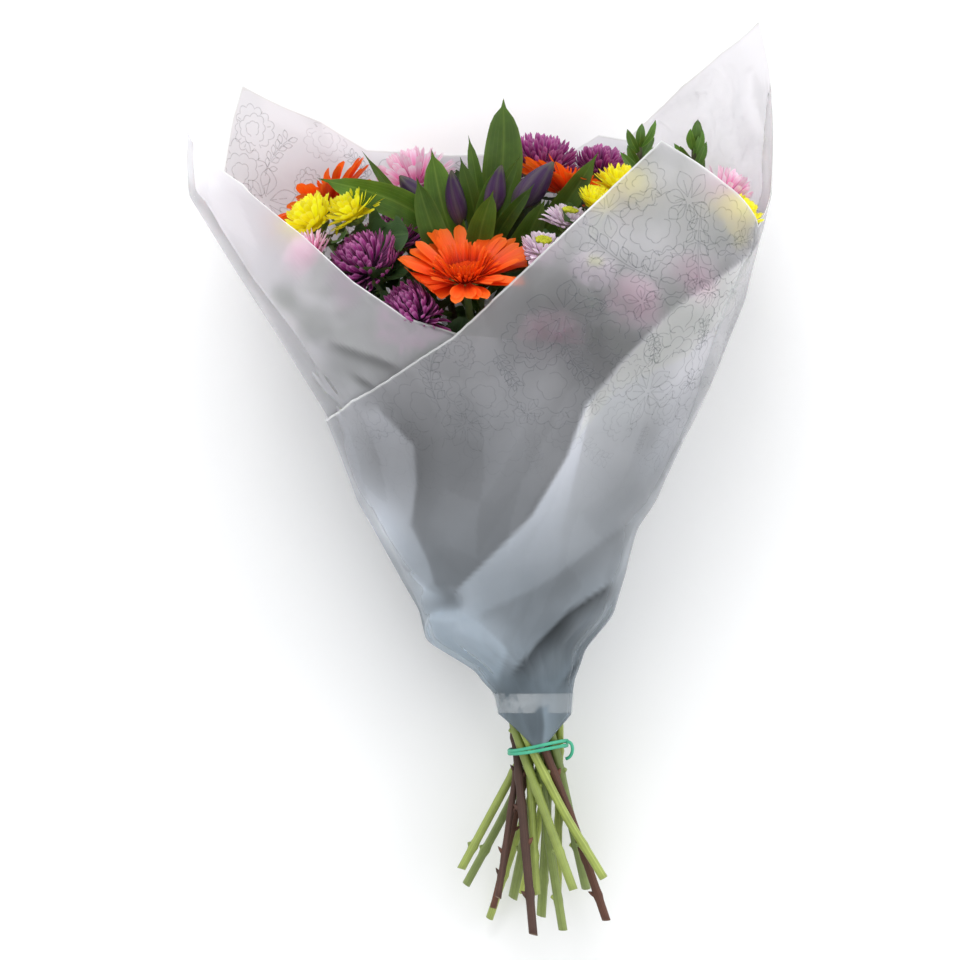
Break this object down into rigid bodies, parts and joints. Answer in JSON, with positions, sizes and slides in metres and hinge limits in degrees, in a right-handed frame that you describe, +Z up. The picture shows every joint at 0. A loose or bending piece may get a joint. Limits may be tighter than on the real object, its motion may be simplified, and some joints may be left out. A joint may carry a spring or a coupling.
{
  "type": "mixed flower bouquet",
  "caption": "Hand-tied mixed flower bouquet lying on its back in a frosted film wrapper, with orange gerberas, chrysanthemums, alstroemeria and greenery, banded stems and cut ends.",
  "frame": {"origin": "centre of the bounding box's bottom, on the surface that the bouquet lies on", "axes": "+Y along the bouquet from the cut stems to the flower heads, +Z up out of the surface, through the wrapper's front"},
  "size_m": [0.3509, 0.5465, 0.1873],
  "materials": {
    "film": "frosted translucent film",
    "tape": "clear glossy tape",
    "band": "matt teal-green rubber",
    "orange_petal": "matt petal",
    "orange_disc": "matt florets",
    "purple_petal": "matt petal",
    "yellow_petal": "matt petal",
    "pink_petal": "matt petal",
    "lilac_petal": "matt petal",
    "lime_centre": "matt florets",
    "bud": "satin bud",
    "green_stem": "satin green stem and leaf",
    "brown_stem": "dull brown bark"
  },
  "bodies": {
    "root": {"wrap": "film", "neck_tape": "tape", "rubber_band": "band", "gerbera_front": "orange_petal", "gerbera_front_disc": "orange_disc", "gerbera_back": "orange_petal", "gerbera_back_disc": "orange_disc", "gerbera_right": "orange_petal", "gerbera_right_disc": "orange_disc", "purple_front": "purple_petal", "purple_left": "purple_petal", "purple_low": "purple_petal", "purple_top": "purple_petal", "purple_back": "purple_petal", "yellow_left": "yellow_petal", "yellow_inner": "yellow_petal", "yellow_front": "yellow_petal", "yellow_mid": "yellow_petal", "yellow_right": "yellow_petal", "yellow_back": "yellow_petal", "pink_left": "pink_petal", "pink_back": "pink_petal", "pink_low": "pink_petal", "pink_right": "pink_petal", "pink_front": "pink_petal", "pink_lower": "pink_petal", "pink_side": "pink_petal", "lilac_top": "lilac_petal", "lilac_top_eye": "lime_centre", "lilac_mid": "lilac_petal", "lilac_mid_eye": "lime_centre", "lilac_low": "lilac_petal", "lilac_low_eye": "lime_centre", "bud_left": "bud", "bud_centre": "bud", "bud_right": "bud", "bud_back": "bud", "stem_gerbera_front": "green_stem", "stem_gerbera_right": "green_stem", "stem_gerbera_back": "green_stem", "stem_alstroemeria": "green_stem", "stem_purple_back": "green_stem", "stem_purple_front": "green_stem", "stem_pink_front": "green_stem", "stem_pink_left": "brown_stem", "stem_pink_back": "brown_stem", "stem_pink_right": "green_stem", "stem_yellow_left": "green_stem", "stem_yellow_mid": "green_stem", "stem_yellow_right": "green_stem", "stem_lilac": "green_stem", "stem_greenery_mid": "brown_stem", "stem_greenery_right": "brown_stem"}
  },
  "joints": []
}
